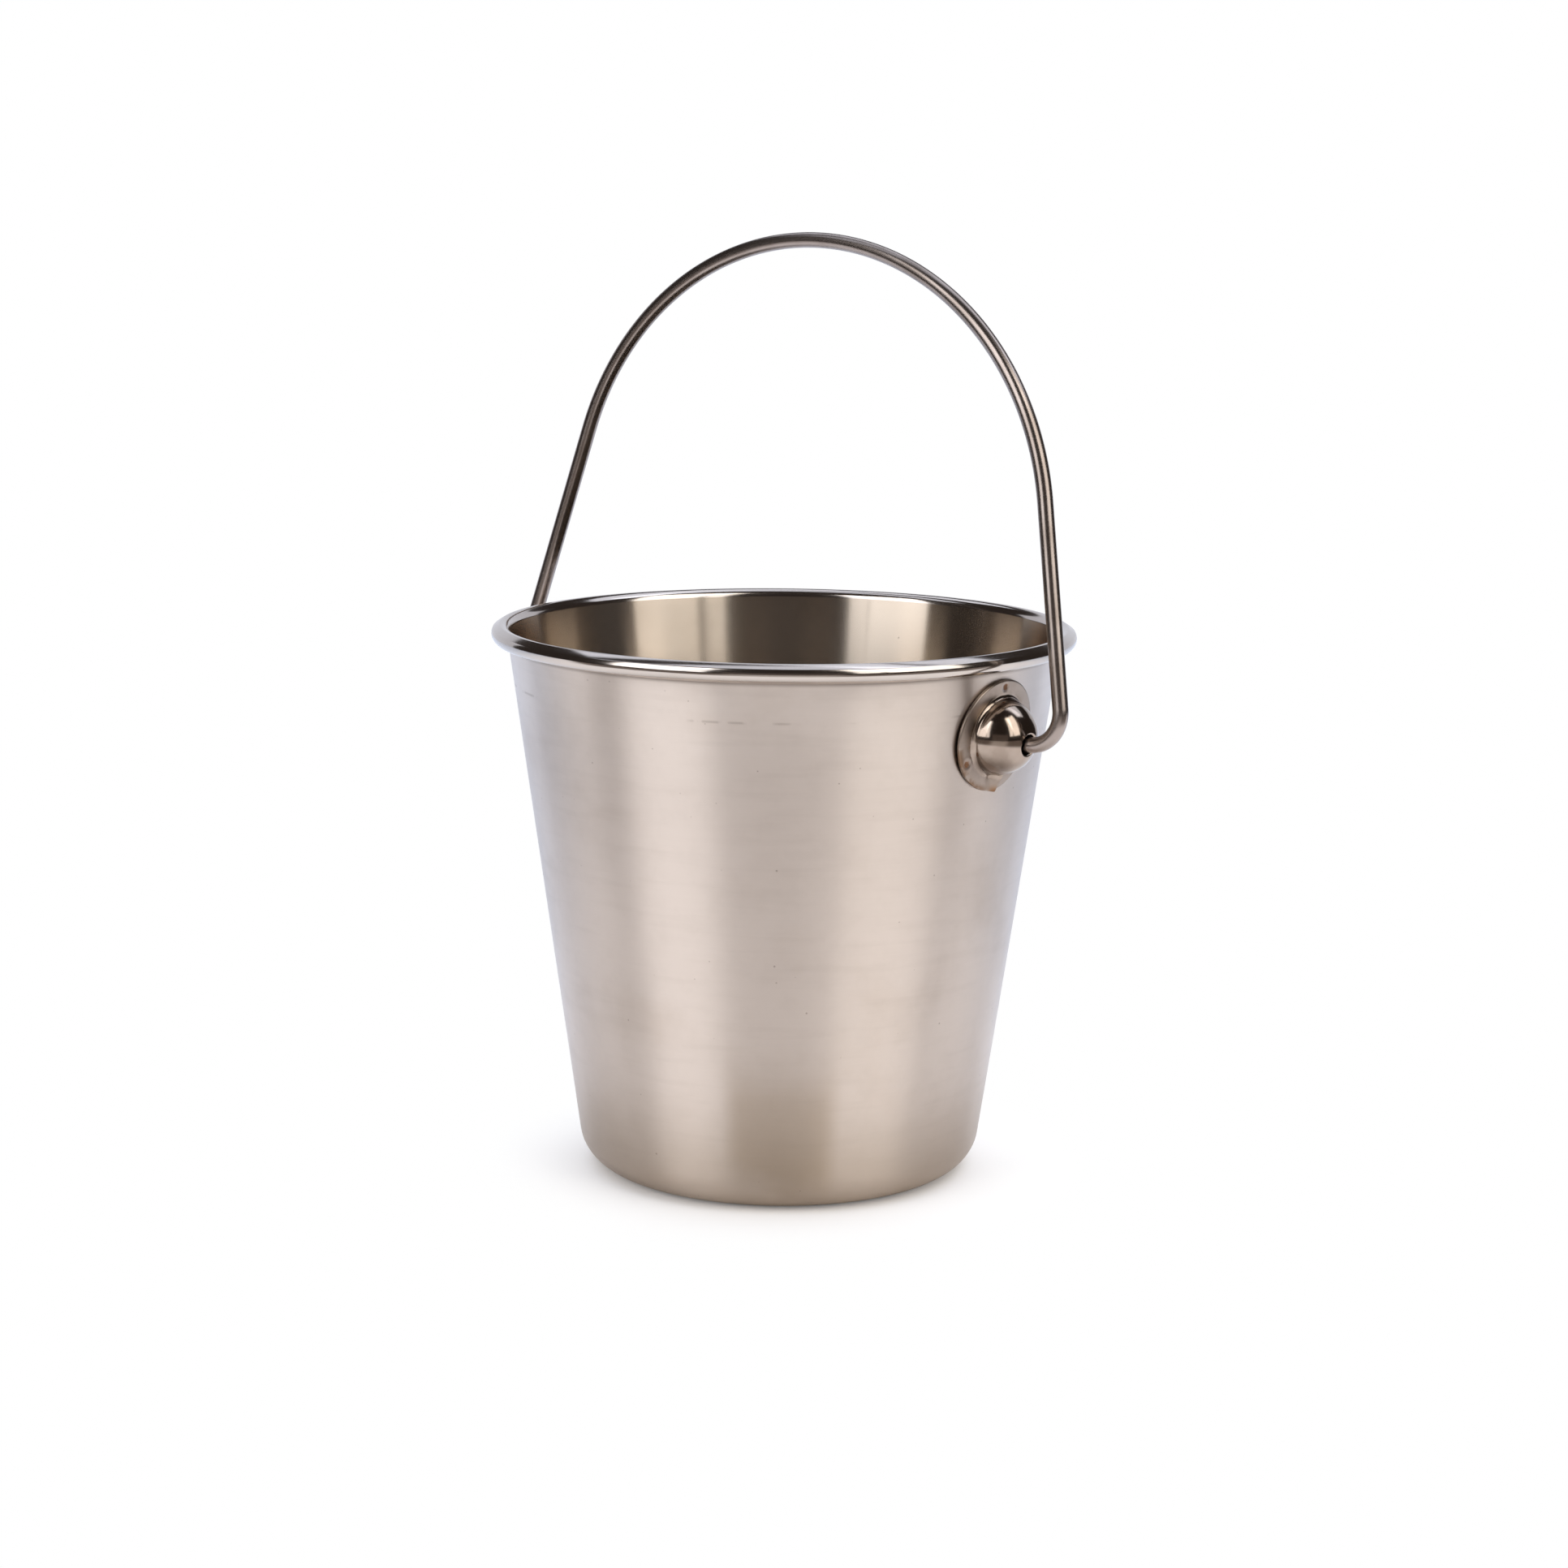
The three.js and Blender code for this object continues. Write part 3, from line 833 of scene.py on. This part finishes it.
# ---------------------------------------------------------------- studio


def direction(azimuth, elevation):
    """Unit vector from the pail, in degrees: azimuth from the camera's side towards its right,
    which is counterclockwise seen from above."""
    a = CAMERA_AZIMUTH + math.radians(azimuth)
    e = math.radians(elevation)
    return Vector((math.sin(a) * math.cos(e), -math.cos(a) * math.cos(e), math.sin(e)))


def make_camera():
    back = direction(0, CAMERA_ELEVATION)
    level_right = direction(90, 0)
    level_up = back.cross(level_right)
    right = level_right * math.cos(CAMERA_ROLL) + level_up * math.sin(CAMERA_ROLL)
    up = level_up * math.cos(CAMERA_ROLL) - level_right * math.sin(CAMERA_ROLL)
    aim = level_right * CAMERA_AIM_RIGHT + Vector((0, 0, CAMERA_AIM_Z))
    camera = bpy.data.objects.new("camera", bpy.data.cameras.new("camera"))
    turned = Matrix((right, up, back)).transposed().to_4x4()
    camera.matrix_world = Matrix.Translation(aim + back * CAMERA_DISTANCE) @ turned
    camera.data.lens = CAMERA_LENS
    camera.data.sensor_width = CAMERA_SENSOR
    camera.data.clip_start = 0.01
    bpy.context.scene.collection.objects.link(camera)
    bpy.context.scene.camera = camera


def make_softbox(name, azimuth, elevation, width, height, radiance, tint):
    """A rectangular light facing the pail, sized in degrees as the pail sees it."""
    light = bpy.data.lights.new(name, "AREA")
    light.shape = "RECTANGLE"
    light.size = 2 * LIGHT_DISTANCE * math.tan(math.radians(width / 2))
    light.size_y = 2 * LIGHT_DISTANCE * math.tan(math.radians(height / 2))
    light.energy = radiance * math.pi * light.size * light.size_y
    light.color = tint
    box = bpy.data.objects.new(name, light)
    out = direction(azimuth, elevation)
    box.location = out * LIGHT_DISTANCE + Vector((0, 0, HEIGHT / 2))
    box.rotation_euler = out.to_track_quat("Z", "Y").to_euler()
    box.visible_camera = False
    bpy.context.scene.collection.objects.link(box)
    return box


def floor_material():
    """A white table, with painted shade near the pail, painted darker and cooler behind it. In
    reflections it ends about 0.3 m in front of the pail, and a darker room is painted past it. To
    the camera it fades into the white background."""
    material = bpy.data.materials.new("floor")
    material.use_nodes = True
    tree = Tree(material.node_tree)
    place = tree.place()
    distance = tree.length(place)
    ahead = tree.dot(place, direction(0, 0))
    off_side = tree.dot(place, direction(90, 0))
    seen_by_camera = tree.seen_by_camera()

    # Painted light: the floor is painted darker and cooler behind the pail.
    table = tree.ramp(ahead, -0.28, 0.04)
    shade = tree.mix(table, colour(0.68, 0.71, 0.76), colour(1.0, 0.955, 0.905))
    # Painted shade on the floor near the pail.
    near = tree.ramp(distance, 0.13, 0.05)
    shade = tree.coat(shade, near, 0.36, colour(0.52, 0.48, 0.43))
    # A painted dark room past the table, for what reflections see.
    past_table = tree.times(tree.ramp(distance, 0.26, 0.36), tree.ramp(ahead, 0.0, 0.12))
    sideways = tree.math("ABSOLUTE", tree.math("DIVIDE", off_side, distance))
    to_the_side = tree.ramp(sideways, 0.2, 0.5)
    room = tree.mix(to_the_side, colour(0.50, 0.455, 0.41), colour(0.18, 0.148, 0.127))
    shade = tree.mix(past_table, shade, room)
    shade = tree.mix(seen_by_camera, shade, colour(0.96, 0.935, 0.91))

    lit = tree.add("ShaderNodeBsdfDiffuse", {"Color": shade})
    glow = tree.add("ShaderNodeEmission", {"Color": colour(1, 1, 1), "Strength": 1.0})
    faded = tree.times(tree.ramp(distance, 0.030, 0.070), seen_by_camera)
    surface = tree.add("ShaderNodeMixShader", {0: faded, 1: lit.outputs[0], 2: glow.outputs[0]})
    output = tree.add("ShaderNodeOutputMaterial")
    tree.feed(output.inputs["Surface"], surface.outputs[0])
    return material


def make_world():
    """A dark room round the pail. The camera itself sees white."""
    world = bpy.data.worlds.new("studio")
    bpy.context.scene.world = world
    world.use_nodes = True
    tree = Tree(world.node_tree)
    dark = colour(0.040, 0.032, 0.028)
    shown = tree.mix(tree.seen_by_camera(), dark, colour(1.0, 1.0, 1.0))
    background = tree.add("ShaderNodeBackground", {"Color": shown, "Strength": 1.0})
    output = tree.add("ShaderNodeOutputWorld")
    tree.feed(output.inputs["Surface"], background.outputs[0])
    bpy.context.scene.view_settings.view_transform = "Standard"


def make_studio():
    """Two divided window lights in front, cool panels above and behind, and a white table."""
    warm = (1.0, 0.97, 0.93)
    neutral = (1.0, 1.0, 1.02)
    cool = (0.90, 0.97, 1.12)
    cool_wall = (0.93, 0.965, 1.07)
    brown = (1.0, 0.82, 0.74)
    make_softbox("window_right_wide", 55.5, 34.5, 33, 51, 2.66, warm)
    make_softbox("window_right_narrow", 32.5, 34.5, 10.5, 51, 2.3, warm)
    make_softbox("window_left_wide", -53, 27, 30, 46, 2.8, neutral)
    make_softbox("window_left_narrow", -33.5, 27, 8, 46, 2.1, neutral)
    make_softbox("ceiling_panel", 154, 62, 78, 26, 1.35, cool)
    make_softbox("ceiling_strip", 180, 83, 90, 15, 1.15, cool)
    make_softbox("backdrop", 183, 9, 99, 38, 0.80, cool_wall)
    make_softbox("room_front", 0, 5, 44, 18, 0.105, brown)
    fill = make_softbox("floor_fill", 180, 75, 80, 80, 1.50, cool)
    fill.visible_glossy = False

    theta = ring_angles(FLOOR_SIDES)
    rim = np.stack([np.cos(theta), np.sin(theta), 0 * theta], 1) * FLOOR_RADIUS
    floor = make_piece("floor", rim, [range(FLOOR_SIDES)], [floor_material()])
    make_world()


# ---------------------------------------------------------------- assembly

make_camera()
make_studio()

cup = make_cup([satin_outside(), rolled_rim(), polished_inside()])
face_outwards(cup)
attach(cup, "pail")
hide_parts("pail_body")

stamped = ear_steel()
ears = (("ear_right_stamping", "ear_right", 1), ("ear_left_stamping", "ear_left", -1))
for ear_name, node_name, ear_side in ears:
    ear = make_ear(ear_name, ear_side, stamped)
    face_outwards(ear)
    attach(ear, "pail")
    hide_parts(node_name)

handle = make_bail(wire_steel())
face_outwards(handle)
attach(handle, "bail")
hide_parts("bail_wire")
